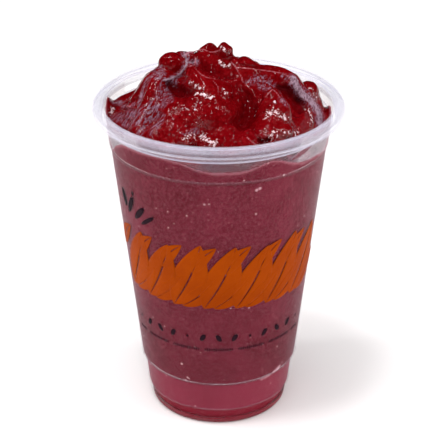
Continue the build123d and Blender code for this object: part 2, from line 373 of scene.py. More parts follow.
# Where the fold lines, froth and hollows run over the top, in mm. Each line is
# set down on the surface before it is used.
STROKES = {
    "tongue_edge": [(-10.5, -1.3, 140.7), (-9, -1.7, 140.1), (-7.5, -3, 139), (-5.6, -12.6, 141.2), (-3.1, -5.7, 137.5), (-0.9, -6.4, 137.4), (1.3, -7.5, 137.1), (3.8, -8.1, 136.7), (6.4, -6.7, 137)],
    "top_line": [(-11.2, 1.9, 144.2), (-8.6, 2.2, 145), (-5.7, 2.4, 145.5), (-3.1, 0.5, 145.3), (-0.9, 0.9, 145.3), (0.9, -0.3, 146.6)],
    "nub_line": [(4.6, -1.5, 142), (6, -2.4, 140.8), (7.1, -4, 139.4), (8.2, -5.4, 138), (8.9, -7.2, 136.4)],
    "right_line": [(7.1, -3.1, 140.6), (10, -3.7, 140.5), (13.3, -3.1, 139.9), (17, -1.5, 138.8), (20.7, -1.9, 138.4), (23.6, -2.3, 137.8), (26.2, -2.8, 136.6)],
    "peak_left": [(19.3, -13.9, 136.3), (18, -14.5, 135), (16.8, -14.4, 133.4)],
    "peak_right": [(19.5, -13.9, 136.3), (21.1, -14.9, 135.2), (22.2, -15.5, 133.5), (23.3, -15, 132.1)],
    "collar": [(-12.7, 2.1, 144.5), (-11.9, 0.1, 142.9), (-11.9, -1.3, 141.1), (-13, -2.1, 139.1), (-14.9, -2.6, 137.5), (-17.4, -3.9, 136.6), (-19.8, -8.6, 137.7)],
    "small_ring": [(-12.3, 1.2, 144), (-10.5, 1.7, 144.8), (-9.2, 2.1, 143.7), (-8.5, -0.1, 142.6), (-8.8, -1.2, 141.1), (-10.5, -1.5, 140.4)],
    "front_line": [(10.1, -31.8, 125.3), (11.8, -32.7, 123.8), (13.6, -33, 122.8)],
    "tongue_side": [(-2, -7.1, 137.1), (-0.9, -9.4, 136.5), (-0.2, -14.5, 137), (-0.2, -18.5, 136.7)],
    "spike_line": [(-41, 7.9, 123.1), (-39.5, 7.4, 122.1), (-38, 7.1, 121.5), (-35.4, 2.2, 123.3), (-32.3, -5.5, 126.3)],
    "left_edge": [(-28.9, -13.9, 128.2), (-29.5, -8.5, 128.3), (-28.4, -7, 131.6), (-27.3, -6.5, 134.1), (-25.4, -6.3, 137.2), (-22.9, -3, 139)],
    "strip": [(27.7, -2.1, 135.5), (28.9, -2.7, 133), (30.8, -2.2, 130.1), (33.6, -0.8, 127.1), (35.9, -0.4, 124.1), (37.5, -0.5, 121.4), (37.8, -2.9, 117.9)],
    "f_patch": [(-21.8, -2, 139), (-21.3, -7.8, 138.2)],
    "f_left": [(-22.6, -0.9, 139.4), (-21.4, -5.5, 138.1), (-20.1, -10.1, 136.7), (-20.5, -12, 134.4), (-21.9, -14.3, 132.2), (-24, -16.2, 130.3), (-26.9, -17.3, 128.8), (-31, -10.3, 124.7), (-35.8, -4.3, 121.4), (-39.8, -1.2, 119.7)],
    "f_edge": [(-25.4, -5.2, 137.6), (-27.3, -6.2, 134.4), (-28.4, -7, 131.6), (-29.1, -8.5, 129.1), (-29.4, -11.2, 127.4)],
    "f_low": [(-24, -18.3, 127.7), (-26.5, -20.2, 126.5), (-30.2, -17.9, 124.8), (-34.9, -7.1, 120.6)],
    "f_mid": [(-18.3, -12.2, 132.1), (-20.5, -14.9, 130.1), (-22.9, -17.7, 128.2), (-25.4, -20, 126.4), (-27.5, -22.5, 124.4), (-28.2, -23.9, 123)],
    "f_wide": [(-20.4, -17.9, 127.1), (-21.9, -26.1, 127.5), (-24.4, -26.9, 125.1)],
    "f_spike": [(-39.8, 6.7, 122.6), (-36, 6.7, 122.6)],
    "f_right": [(-19.1, -10.2, 136), (-18, -11.2, 133.3), (-17.3, -12.5, 131.1)],
    "f_tail": [(-31.1, -6.5, 127.5), (-34.5, 0.2, 123.9), (-38, 7.6, 121.7), (-41, 8.1, 122.7)],
    "f_fleck": [(11.5, -6.5, 136.5), (15.9, -4.4, 136.5), (19.6, -5.3, 134.4), (15.9, -7.4, 134.5)],
    "f_peak": [(22.9, -15.2, 132.6), (25.1, -7.4, 128.2)],
    "f_small": [(-11.6, -0.9, 141.7), (-8.3, -0.9, 141.7)],
    "f_top": [(-12.7, 3.7, 144.5), (-10.9, 2.8, 144.2)],
    "f_end": [(24, -2.8, 137.2), (27.4, -2.7, 135.4)],
    "f_lobe": [(30.8, -1.1, 131.6), (33.2, 0.8, 130)],
    "f_hollow": [(-17.1, -3.8, 136.6), (-15.8, -8.5, 136.1)],
    "f_front": [(-12.2, -30.2, 125.8), (-8, -28.4, 126.2)],
    "dark_hollow": [(-18, -9.3, 136.4), (-15.8, -9.8, 135.1), (-12.8, -16, 136), (-9.5, -19.2, 136.9)],
    "dark_a": [(28.5, -6, 128.8), (31.1, -6.2, 126.6), (29.9, -8.5, 125.1)],
    "dark_b": [(21.1, -13.9, 135.9), (24.7, -5.8, 131.9), (27.3, -5.8, 129.9)],
    "dark_front": [(14, -31.7, 124.1), (15.7, -31.7, 123.6), (17.9, -31.1, 123.9)],
    "dark_left": [(-38.9, -4.1, 118.1), (-34.8, -9.9, 118.6), (-31.2, -21, 121.8)],
    "dark_ridge": [(-27.7, -5.7, 134.2), (-30.9, -6.6, 132.6), (-33.9, -7.2, 131.3), (-36.8, -7.8, 130.3)],
    "dark_face": [(-8.3, -0.5, 142.3), (-4.6, -3.3, 140.7), (-0.9, -4.6, 138.9)],
    "groove_a": [(-9.7, -0.6, 141.8), (-7.9, -1.9, 140.6), (-5.7, -3.8, 139.3), (-3.1, -4.8, 138.5)],
    "groove_b": [(7.8, -2.6, 141.4), (11.5, -3, 141), (16, -0.8, 139.5)],
    "streak_a": [(-36.9, 2.8, 122), (-33.5, -4.8, 124.8), (-30.6, -8.9, 126.1)],
    "streak_b": [(-37.1, -1.3, 121.7), (-33.8, -6, 123.3), (-31.4, -9.5, 124.4)],
    "streak_c": [(-37.8, -3.3, 120.1), (-34.6, -6.7, 121.6), (-32.1, -10.3, 122.7)],
    "streak_d": [(-34.7, 4.4, 123.8), (-31.1, -5.3, 128.5), (-28.8, -7.1, 130.9)],
    "groove_c": [(-7.5, -2.4, 140), (-4.6, -3.9, 139.4), (-1.3, -5.1, 138.3), (2, -6.1, 137.5), (5.3, -5.9, 137.4)],
    "valley": [(7.8, -9.9, 135.1), (10.3, -12.9, 132.4), (11, -17, 129.4), (9.1, -21.4, 126.6), (6.9, -29.5, 127)],
    "fold_mid": [(-2, -22.1, 135.8), (-2.7, -24.3, 133.3), (-2.7, -26.3, 130.3), (-2, -28, 127.2)],
    "tongue_body": [(-9.7, -2, 139), (-7, -15.6, 141.2), (-4.5, -19.2, 139.2), (-2.7, -21.3, 137)],
    "right_hollow": [(22.1, -5.7, 133.4), (25.5, -5.6, 131.8), (27.7, -6, 129.2), (28.8, -7.2, 126.2)],
    "peak_flank": [(18.2, -14.6, 135.1), (15.7, -13.6, 132.3), (13.5, -16, 130.2), (12.4, -19.1, 128)],
    "front_ridge": [(-0.9, -31.2, 123.9), (1.9, -30.3, 125.8), (6.2, -30, 126.9), (10.4, -30.6, 126.3), (13.6, -31.6, 124.5)],
    "wet_fold": [(-10.2, -15.3, 139.6), (-7.7, -18.3, 139.2), (-5.5, -19.8, 138.7)],
    "wet_lip": [(-8, -20.2, 137), (-5.5, -21.1, 137.3), (-2.7, -21.9, 136.5)],
    "wet_front": [(-5.9, -28.9, 124.8), (-3.7, -30.3, 123.1), (-1.6, -31.8, 122.7)],
    "wet_peak": [(19.9, -17, 132.9)],
    "wet_slope": [(17.3, -23.4, 129.8), (20.3, -19.8, 129.8), (23.5, -20.8, 128)],
    "wet_spot": [(13.5, -18.2, 128.8)],
    "wet_left": [(-39.9, 2.4, 122.2), (-40.2, 1, 120.7)],
    "wet_crest": [(1.3, -0.2, 147.3), (3.5, -0.8, 145.6)],
    "wet_nub": [(0.5, -2.5, 142.3), (2, -2.8, 141.3), (3.8, -2.3, 141.1)],
    "wet_low": [(16.1, -30.6, 124.8), (21.9, -27.4, 124.6), (28.4, -19.7, 122)],
    "wet_face": [(1.2, -11.6, 135.4), (3.4, -12.9, 134)],
    "wet_back": [(33.6, 1.5, 129.8), (35.9, 1.9, 127.2)],
    "wet_strip": [(33.1, -4, 124.4), (34.2, -5.3, 121.8), (33.6, -9.8, 120.5)],
    "wet_lump": [(-11.5, -30.1, 125.7), (-11.9, -31.4, 124), (-8.7, -29.4, 125.4)],
    "wet_ice": [(-17.3, -24.7, 129.6), (-13.8, -19.3, 130.4), (-10.2, -22.7, 131.1), (-6.6, -26, 129)],
    "icy_a": [(-21.1, -18.4, 126.9), (-16.9, -15.5, 128.1), (-11.6, -21.2, 131.2), (-6.6, -24.7, 131.1)],
    "icy_b": [(-19, -28.5, 127.4), (-13.7, -27.7, 128.6), (-8, -26.4, 128)],
    "icy_c": [(15.4, -30.6, 124.8), (20, -29.1, 124.9), (24.9, -24.2, 123.6), (29.6, -17.1, 122)],
    "icy_d": [(-8, -30, 124.2), (-4.5, -30.2, 123.1), (-0.9, -31.2, 123.9)],
    "icy_e": [(16.9, -23.2, 129.7), (20.2, -22, 130), (23.9, -20.3, 127.7)],
    "icy_f": [(13.1, -18.1, 128.7)],
    "icy_g": [(-12.6, -30.8, 125.3), (-9.4, -29.6, 125.5)],
    "icy_h": [(32.3, -5.4, 125), (33.8, -5.6, 122.3), (33.2, -10.5, 120.8)],
    "icy_i": [(-25.1, -27.7, 123.9), (-22.2, -30.3, 123.9), (-19.3, -31.4, 124)],
    "icy_j": [(-8, -20, 137.2), (-5.2, -20.6, 137.9), (-2.7, -22.1, 136.2)],
    "icy_k": [(1.3, -11.1, 135.6), (3.1, -13.4, 133.8), (6.3, -11.2, 134.5)],
    "lip_under": [(-11.7, -18.2, 135.4), (-8.4, -20.9, 135.7), (-4.8, -22.5, 135.6)],
}
EYE = np.array([0.0, -518.73, 338.54])


def field_at(P):
    """The field between grid points."""
    out = []
    for value, axis in ((P[:, 0], gx), (P[:, 1], gx), (P[:, 2], zs)):
        i = np.clip(np.searchsorted(axis, value) - 1, 0, len(axis) - 2)
        t = np.clip((value - axis[i]) / (axis[i + 1] - axis[i]), 0.0, 1.0)
        out.append((i, t))
    (i, a), (j, b), (k, c) = out
    total = 0.0
    for di, wa in ((0, 1 - a), (1, a)):
        for dj, wb in ((0, 1 - b), (1, b)):
            for dk, wc in ((0, 1 - c), (1, c)):
                total = total + wa * wb * wc * F[i + di, j + dj, k + dk]
    return total


def seat(points, lift=0.0):
    """Slides each point along the line to the viewer until it lies on the surface."""
    out = []
    steps = np.arange(45.0, -45.0, -0.2)
    for p in np.asarray(points, float):
        d = (EYE - p) / np.linalg.norm(EYE - p)
        q = p + steps[:, None] * d
        f = np.where(np.hypot(q[:, 0], q[:, 1]) < 43.0, field_at(q), 9.0)
        hit = np.nonzero(f < 0)[0]
        out.append(q[hit[0]] + lift * d if len(hit) else p)
    return np.array(out)


def trace(name, n=30, lift=0.0, even=True):
    """A stroke laid on the surface; jumps in depth are evened out for geometry."""
    line = seat(curve(STROKES[name], n), lift)
    if even:
        d = EYE - line
        dist = np.linalg.norm(d, axis=1)
        pad = np.pad(dist, 3, mode="edge")
        med = np.median(np.stack([pad[i:i + n] for i in range(7)]), axis=0)
        pad = np.pad(med, 2, mode="edge")
        med = np.mean(np.stack([pad[i:i + n] for i in range(5)]), axis=0)
        line = EYE - d / dist[:, None] * med[:, None]
    return line


# The round swelling on the left, in a collar of paler froth, and the small one beside it.
blob((-17.3, -0.4, 140.9), (4.9, 4.2, 4.4), turn=10, k=0.35)
blob((-10.7, 0.9, 142.6), (1.6, 1.6, 2.0), k=0.35)
# The two crests.
blob((2.4, 0.4, 145.6), (3.0, 2.4, 2.6), k=1.0)
blob((2.0, 0.2, 147.5), (1.3, 1.2, 1.4), k=0.9)
# The smooth wave in front, wider to the right than the fold it rides on.
blob((-3.0, -12.5, 137.6), (9.0, 6.0, 3.6), turn=-22, tilt=14, k=1.6)
blob((-7.5, -18.0, 129.6), (14.0, 9.5, 6.4), turn=-10, k=4.0)
# The peaked fold on the right.
rope([(19.4, -15.4, 134.6), (17.0, -17.6, 131.0), (14.2, -19.4, 127.4)], (2.1, 1.5), k=1.6)
rope([(19.8, -15.4, 134.4), (22.8, -16.8, 130.8), (25.0, -17.6, 127.2)], (2.2, 1.6), k=1.6)
blob((20.0, -17.4, 129.8), (4.4, 4.0, 4.2), k=2.4)
blob((33.2, 3.5, 127.6), (4.6, 4.0, 5.0), turn=20, k=1.0)
# Low lumps along the front.
blob((-3.0, -31.0, 122.6), (5.0, 4.0, 3.0), turn=10, k=0.8)
blob((-11.5, -30.5, 123.6), (4.0, 3.6, 2.6), turn=-20, k=0.8)
blob((9.5, -31.5, 123.0), (6.0, 4.0, 3.2), turn=20, k=0.8)
blob((22.5, -25.0, 124.6), (5.0, 4.0, 3.0), turn=40, k=0.8)

# longer folds, and the valleys between them
rope(trace("tongue_body", lift=-1.5), (3.0, 2.2), k=1.6, n=30)
rope(trace("fold_mid", lift=-0.8), (1.4, 0.7), k=1.8, n=30)
rope(trace("peak_flank", lift=-0.7), (1.2, 0.8), k=1.5, n=30)
rope(trace("front_ridge", lift=-1.2), (2.2, 1.2), k=1.6, n=30)
rope(trace("valley", lift=-0.4), (2.4, 1.2), k=2.4, cut=True, n=30)
rope(trace("right_hollow", lift=-0.6), (2.0, 1.0), k=1.6, cut=True, n=30)
rope(trace("groove_c", lift=-0.1), (1.1, 0.5), k=0.8, cut=True, n=30)

# the far side, folded in the same way


def drape(points, n=30, lift=0.0):
    """A line given in plan, laid on the surface from above."""
    line = curve([(px, py, 0.0) for px, py in points], n)
    steps = np.arange(150.0, 108.0, -0.15)
    for p in line:
        q = np.stack([np.full(len(steps), p[0]), np.full(len(steps), p[1]), steps], axis=1)
        hit = np.nonzero(field_at(q) < 0)[0]
        p[2] = (steps[hit[0]] if len(hit) else 118.0) + lift
    return line


FAR_FOLDS = [([(-22, 10), (-15, 17), (-6, 20), (4, 18)], (2.6, 1.4)), ([(24, 12), (19, 18), (10, 23), (1, 26)], (2.6, 1.2)),
             ([(-30, 14), (-25, 21), (-16, 27), (-6, 30)], (2.4, 1.2)), ([(29, 12), (25, 20), (18, 27), (8, 31)], (2.4, 1.2)),
             ([(-6, 12), (2, 15), (9, 15), (14, 13)], (2.0, 1.0)), ([(-4, 33), (5, 35), (13, 33)], (2.2, 1.2))]
FAR_DIPS = [([(-19, 19), (-11, 24), (-2, 25)], (1.8, 0.9)), ([(21, 21), (14, 26), (6, 28)], (1.6, 0.8)), ([(-10, 14), (-2, 16), (5, 15)], (1.6, 0.8))]
for path, radii in FAR_FOLDS:
    rope(drape(path, lift=-1.3), radii, k=1.6, n=30)
for path, radii in FAR_DIPS:
    rope(drape(path, lift=0.2), radii, k=1.4, cut=True, n=30)

# grooves first, then the thin edges that stand beside them
rope(trace("groove_a", lift=-0.3), (1.0, 0.4), k=0.5, cut=True, n=30)
rope(trace("groove_b", lift=0.0), (0.8, 0.3), k=0.5, cut=True, n=30)
rope(trace("dark_hollow", lift=-0.3), (2.2, 1.0), k=1.4, cut=True, n=30)
rope(trace("dark_a", lift=-0.4), (1.6, 0.8), k=1.0, cut=True, n=30)
rope(trace("dark_front", lift=-0.6), (1.1, 0.6), k=0.6, cut=True, n=30)
for key in ("streak_a", "streak_b", "streak_c", "streak_d"):
    rope(trace(key, lift=0.1), (0.5, 0.25), k=0.7, cut=True, n=30)
EDGES = {"tongue_edge": (0.42, 0.25), "top_line": (0.4, 0.3), "nub_line": (0.4, 0.2), "right_line": (0.42, 0.3),
         "peak_left": (0.34, 0.25), "peak_right": (0.34, 0.25), "collar": (0.8, 0.5), "small_ring": (0.5, 0.4),
         "front_line": (0.4, 0.3), "tongue_side": (0.3, 0.15), "spike_line": (0.4, 0.25), "left_edge": (0.6, 0.4)}
for key, radii in EDGES.items():
    rope(trace(key, lift=0.0), radii, k=0.35, n=30)

# The scrap of drink left on the wall above the front edge, towards the right.
for t in np.linspace(0.0, 1.0, 9):
    az = math.radians(41.0 + 12.0 * t)
    zc = 116.9 + 2.6 * t
    rc = float(cup_outside(zc)) - WALL
    blob((rc * math.sin(az), -rc * math.cos(az), zc), (1.5, 0.9, 0.9 + 0.8 * math.sin(math.pi * t)), turn=math.degrees(az), k=0.3)

# the wall, the floor and the lowest reach
Rz = cup_outside(zs) - WALL + TOUCH
over_rim = zs > BEAD_Z - 2.0
over = np.sqrt(np.clip(1.0 - ((zs - BEAD_Z) / BEAD_H) ** 2, 0.0, 1.0))
lip = RIM_R - BEAD_W - BEAD_W * np.where(zs < BEAD_Z, 1.0, over) + 0.1
Rz[over_rim] = np.minimum(lip[over_rim], RIM_R - 3.9)
F = smax(F, (R2[:, :, None] - Rz[None, None, :]), 0.25)
F = np.maximum(F, FLOOR_Z - zs[None, None, :])


def surface_net(F, xs, ys, zs):
    """The zero surface of a field on a grid, as vertices and quads."""
    inside = F < 0.0
    nx_, ny_, nz_ = F.shape
    corners = np.zeros((nx_ - 1, ny_ - 1, nz_ - 1), np.int8)
    for dx in (0, 1):
        for dy in (0, 1):
            for dz in (0, 1):
                corners += inside[dx:nx_ - 1 + dx, dy:ny_ - 1 + dy, dz:nz_ - 1 + dz]
    active = (corners > 0) & (corners < 8)
    ci, cj, ck = np.nonzero(active)
    index = np.full(active.shape, -1, np.int64)
    index[ci, cj, ck] = np.arange(len(ci))
    total = np.zeros((len(ci), 3))
    count = np.zeros(len(ci))
    axes = (xs, ys, zs)
    for axis in range(3):
        others = [a for a in range(3) if a != axis]
        for p in (0, 1):
            for q in (0, 1):
                o = [0, 0, 0]
                o[others[0]], o[others[1]] = p, q
                a = (ci + o[0], cj + o[1], ck + o[2])
                e = [0, 0, 0]
                e[axis] = 1
                b = (a[0] + e[0], a[1] + e[1], a[2] + e[2])
                fa, fb = F[a], F[b]
                hit = (fa < 0) != (fb < 0)
                t = np.where(hit, fa / np.where(hit, fa - fb, 1.0), 0.0)
                for d in range(3):
                    pa, pb = axes[d][a[d]], axes[d][b[d]]
                    total[:, d] += np.where(hit, pa + (pb - pa) * t, 0.0)
                count += hit
    verts = total / count[:, None]
    quads = []
    for axis in range(3):
        others = [a for a in range(3) if a != axis]
        n = [nx_, ny_, nz_]
        sl_a = [slice(1, n[d] - 1) for d in range(3)]
        sl_b = [slice(1, n[d] - 1) for d in range(3)]
        sl_a[axis], sl_b[axis] = slice(0, n[axis] - 1), slice(1, n[axis])
        a, b = inside[tuple(sl_a)], inside[tuple(sl_b)]
        hit = a != b
        ii = list(np.nonzero(hit))
        for d in range(3):
            if d != axis:
                ii[d] = ii[d] + 1
        flip = a[hit]
        u, v = others
        cells = []
        for du, dv in ((-1, -1), (0, -1), (0, 0), (-1, 0)):
            c = [ii[0].copy(), ii[1].copy(), ii[2].copy()]
            c[u] += du
            c[v] += dv
            cells.append(index[c[0], c[1], c[2]])
        q = np.stack(cells, axis=1)
        if axis == 1:
            flip = ~flip
        q = np.where(flip[:, None], q, q[:, ::-1])
        quads.append(q)
    return verts, np.concatenate(quads)


V, Q = surface_net(F, gx, gx, zs)


def normals_of(V, Q):
    n = np.cross(V[Q[:, 2]] - V[Q[:, 0]], V[Q[:, 3]] - V[Q[:, 1]])
    out = np.zeros_like(V)
    for k in range(4):
        np.add.at(out, Q[:, k], n)
    return out / np.maximum(np.linalg.norm(out, axis=1), 1e-9)[:, None]


def neighbours_mean(values, Q, n):
    total = np.zeros((n,) + values.shape[1:])
    count = np.zeros(n)
    for a, b in ((0, 1), (1, 2), (2, 3), (3, 0)):
        for p, q in ((a, b), (b, a)):
            np.add.at(total, Q[:, p], values[Q[:, q]])
            np.add.at(count, Q[:, p], 1.0)
    return total / np.maximum(count, 1.0).reshape((n,) + (1,) * (values.ndim - 1))


x, y, z = V.T
r = np.hypot(x, y)
azimuth = np.degrees(np.arctan2(x, -y))
wall_r = cup_outside(z) - WALL + TOUCH
edge_v = edge_height(azimuth)
on_wall = (r > wall_r - 0.35) & (z < edge_v + 0.6) & (z < BEAD_Z - 2.0)
on_floor = z < FLOOR_Z + 0.3
free = ~(on_wall | on_floor)
# even out the grid's small steps on the free surface
mean = neighbours_mean(V, Q, len(V))
V = np.where(free[:, None], V * 0.5 + mean * 0.5, V)
scale = wall_r / np.maximum(r, 1e-6)
V[:, 0] = np.where(on_wall, V[:, 0] * scale, V[:, 0])
V[:, 1] = np.where(on_wall, V[:, 1] * scale, V[:, 1])

N = normals_of(V, Q)
x, y, z = V.T
side = smooth((r - (wall_r - 0.9)) / 0.6) * (z < edge_v + 1.0)
up = 1.0 - smooth((r - (wall_r - 3.0)) / 2.5)
lump = 0.16 * noise(x, y, z, 4.6, 21) + 0.10 * noise(x, y, z, 2.2, 22) + 0.05 * noise(x, y, z, 1.2, 23)
V = V + N * (lump * np.where(free, up, 0.0))[:, None]
N = normals_of(V, Q)

# how sharply the surface bends, for painted highlight on crests and painted shade in creases
mean = neighbours_mean(V, Q, len(V))
bend = -np.einsum("ij,ij->i", mean - V, N)
for _ in range(3):
    bend = 0.5 * bend + 0.5 * neighbours_mean(bend, Q, len(V))


def painted(name, width, n=50):
    """How near each vertex is to a stroke, 1 on it and falling to 0 over `width` mm."""
    pts = trace(name, n, even=False) if isinstance(name, str) else drape(name, n)
    out = np.zeros(len(V))
    near = np.nonzero(np.all((V > pts.min(0) - 3 * width) & (V < pts.max(0) + 3 * width), axis=1))[0]
    P = V[near]
    best = np.full(len(P), 1e6)
    for q in pts:
        best = np.minimum(best, ((P - q) ** 2).sum(1))
    out[near] = np.exp(-best / width ** 2)
    return out


froth = np.zeros(len(V))
for key, width, weight in (
        ("f_patch", 1.5, 1.3), ("f_left", 2.3, 1.0), ("f_edge", 1.5, 0.9), ("f_low", 1.8, 0.8), ("f_mid", 2.0, 0.8),
        ("f_wide", 1.6, 0.9), ("f_right", 1.1, 0.9), ("f_tail", 0.9, 0.9), ("f_spike", 1.0, 1.4), ("f_fleck", 1.8, 0.9), ("f_peak", 1.3, 1.2), ("f_small", 1.2, 1.4),
        ("f_top", 1.0, 1.4), ("f_end", 1.1, 1.2), ("f_lobe", 0.9, 0.9), ("f_hollow", 1.2, 1.0), ("f_front", 1.2, 0.8),
        ("strip", 2.2, 1.9), ("collar", 1.1, 1.5), ("left_edge", 0.9, 1.3)):
    froth = np.maximum(froth, weight * painted(key, width))
for path, width, weight in (
        ([(-27, 12), (-24, 18), (-19, 22)], 2.6, 0.95), ([(-18, 17), (-10, 21), (-3, 22)], 1.8, 0.8), ([(21, 13), (17, 19), (10, 24)], 2.2, 0.9),
        ([(27, 21), (20, 28), (13, 31)], 2.8, 0.8), ([(-16, 28), (-6, 31), (2, 33)], 2.2, 0.7)):
    froth = np.maximum(froth, weight * painted(path, width))
# ridge: the thin fold edges that get a painted highlight
ridge = np.zeros(len(V))
for key, width in (("tongue_edge", 0.34), ("top_line", 0.34), ("nub_line", 0.34), ("right_line", 0.36), ("peak_left", 0.30),
                   ("peak_right", 0.30), ("small_ring", 0.45), ("front_line", 0.34), ("tongue_side", 0.22), ("spike_line", 0.30)):
    ridge = np.maximum(ridge, painted(key, width * 0.85))
# icy: zones of icy grains in the relief; their pale specks in the colour are painted sparkle highlights
icy = np.zeros(len(V))
for key, width, weight in (
        ("icy_a", 4.5, 1.0), ("icy_b", 3.5, 0.9), ("icy_c", 2.6, 1.2), ("icy_d", 2.4, 1.2), ("icy_e", 2.6, 1.2), ("icy_f", 1.8, 1.0),
        ("icy_g", 2.0, 1.0), ("icy_h", 1.6, 0.8), ("icy_i", 1.6, 0.8), ("icy_j", 1.3, 0.8), ("icy_k", 1.4, 0.6)):
    icy = np.maximum(icy, weight * painted(key, width))
# wet: the glossiest zones, where the lamps' glints fall; pale flecks painted there are painted highlights
wet = np.zeros(len(V))
for key, width, weight in (
        ("wet_fold", 0.9, 1.1), ("wet_lip", 1.1, 1.1), ("wet_front", 1.9, 1.1), ("wet_peak", 1.1, 1.1), ("wet_slope", 2.2, 1.0),
        ("wet_spot", 1.2, 0.9), ("wet_left", 1.5, 1.1), ("wet_crest", 1.2, 1.0), ("wet_nub", 1.0, 1.1), ("wet_low", 2.0, 0.75),
        ("wet_face", 1.5, 0.8), ("wet_back", 1.8, 0.8), ("wet_strip", 1.6, 0.85), ("wet_lump", 1.8, 0.7), ("wet_ice", 3.4, 0.36)):
    wet = np.maximum(wet, weight * painted(key, width))
for path, width, weight in (
        ([(-13, 20), (-9, 22)], 1.6, 0.9), ([(9, 21), (13, 18)], 1.6, 0.9), ([(3, 12), (9, 12)], 1.4, 0.9), ([(-24, 21), (-20, 24)], 1.6, 0.8),
        ([(17, 27), (22, 23)], 1.6, 0.8), ([(4, 34), (8, 35)], 1.6, 0.8), ([(-6, 12), (6, 28)], 5.0, 0.33)):
    wet = np.maximum(wet, weight * painted(path, width))
# painted shade: darker red in the hollows, grooves and creases
painted_shade = np.zeros(len(V))
for key, width, weight in (
        ("dark_hollow", 3.0, 1.0), ("dark_a", 2.2, 0.9), ("dark_b", 2.0, 0.6), ("right_hollow", 2.8, 0.85), ("valley", 4.0, 0.3), ("groove_c", 1.1, 0.6), ("dark_front", 1.2, 1.0), ("dark_left", 1.2, 0.8),
        ("dark_ridge", 2.0, 0.6), ("dark_face", 2.4, 0.5), ("groove_a", 0.8, 0.7), ("groove_b", 0.7, 0.6),
        ("streak_a", 0.6, 0.9), ("streak_b", 0.6, 0.9), ("streak_c", 0.6, 0.9), ("streak_d", 0.7, 0.9)):
    painted_shade = np.maximum(painted_shade, weight * painted(key, width))
# painted shade in the dips on the far side
for path, _ in FAR_DIPS:
    painted_shade = np.maximum(painted_shade, 0.7 * painted(path, 2.0))
# the drink lies in the wall's own shade close behind the rim: painted shade
painted_shade = np.maximum(painted_shade, 0.55 * smooth((r - (wall_r - 2.2)) / 2.0) * smooth((124.0 - z) / 4.0))
rim_y = -np.sqrt(np.maximum(45.0 ** 2 - np.minimum(np.abs(x), 44.9) ** 2, 0.0))
low_line = 126.6 - 0.553 * (y - rim_y)
painted_shade = np.maximum(painted_shade, 1.0 * smooth((low_line - z) / 1.4) * smooth((z - edge_v) / 1.0 + 0.5) * (y < 0.0) * smooth((r - (wall_r - 16.0)) / 3.0))
smear = (r > wall_r - 2.2) & (np.abs(azimuth - 47.0) < 9.0) & (z > edge_v + 0.8)
side, painted_shade = np.where(smear, 1.0, side), np.where(smear, 0.0, painted_shade)


# ---------------------------------------------------------------------------
# Materials
# ---------------------------------------------------------------------------

def new_material(name):
    m = bpy.data.materials.new(name)
    m.use_nodes = True
    nt = m.node_tree
    nt.nodes.clear()
    out = nt.nodes.new("ShaderNodeOutputMaterial")
    return m, nt, out


def lin(rgb):
    return tuple((c / 255.0 / 12.92) if c / 255.0 <= 0.04045 else ((c / 255.0 + 0.055) / 1.055) ** 2.4
                 for c in rgb) + (1.0,)


def node(nt, kind, **settings):
    n = nt.nodes.new(kind)
    for k, v in settings.items():
        setattr(n, k, v)
    return n


def tex_noise(nt, coords, scale, detail=3.0, rough=0.55, distort=0.0):
    n = node(nt, "ShaderNodeTexNoise")
    n.inputs["Scale"].default_value = scale
    n.inputs["Detail"].default_value = detail
    n.inputs["Roughness"].default_value = rough
    n.inputs["Distortion"].default_value = distort
    nt.links.new(coords, n.inputs["Vector"])
    return n.outputs["Fac"]


def remap(nt, value, a, b, c=0.0, d=1.0, kind="SMOOTHSTEP"):
    n = node(nt, "ShaderNodeMapRange", interpolation_type=kind, clamp=True) if kind != "LINEAR" else node(nt, "ShaderNodeMapRange", clamp=True)
    n.inputs["From Min"].default_value, n.inputs["From Max"].default_value = a, b
    n.inputs["To Min"].default_value, n.inputs["To Max"].default_value = c, d
    nt.links.new(value, n.inputs["Value"])
    return n.outputs["Result"]


def maths(nt, op, a, b=None, clamp=False):
    n = node(nt, "ShaderNodeMath", operation=op, use_clamp=clamp)
    for i, v in enumerate((a, b)):
        if v is None:
            continue
        if isinstance(v, (int, float)):
            n.inputs[i].default_value = v
        else:
            nt.links.new(v, n.inputs[i])
    return n.outputs[0]


def mixed(nt, fac, a, b, blend="MIX"):
    n = node(nt, "ShaderNodeMix", data_type="RGBA", blend_type=blend)
    if isinstance(fac, (int, float)):
        n.inputs[0].default_value = fac
    else:
        nt.links.new(fac, n.inputs[0])
    for i, v in ((6, a), (7, b)):
        if isinstance(v, tuple):
            n.inputs[i].default_value = v
        else:
            nt.links.new(v, n.inputs[i])
    return n.outputs[2]


def attribute(nt, name):
    return node(nt, "ShaderNodeAttribute", attribute_name=name).outputs["Fac"]


def specks(nt, co, scale, share, size):
    """Sparse round dots: 1 inside one, 0 elsewhere."""
    vor = node(nt, "ShaderNodeTexVoronoi", feature="F1")
    vor.inputs["Scale"].default_value = scale
    nt.links.new(co, vor.inputs["Vector"])
    sep = node(nt, "ShaderNodeSeparateColor")
    nt.links.new(vor.outputs["Color"], sep.inputs[0])
    few = remap(nt, sep.outputs[0], 1.0 - share, 1.0 - share * 0.7)
    dot = remap(nt, vor.outputs["Distance"], size, size * 0.45)
    return maths(nt, "MULTIPLY", few, dot)


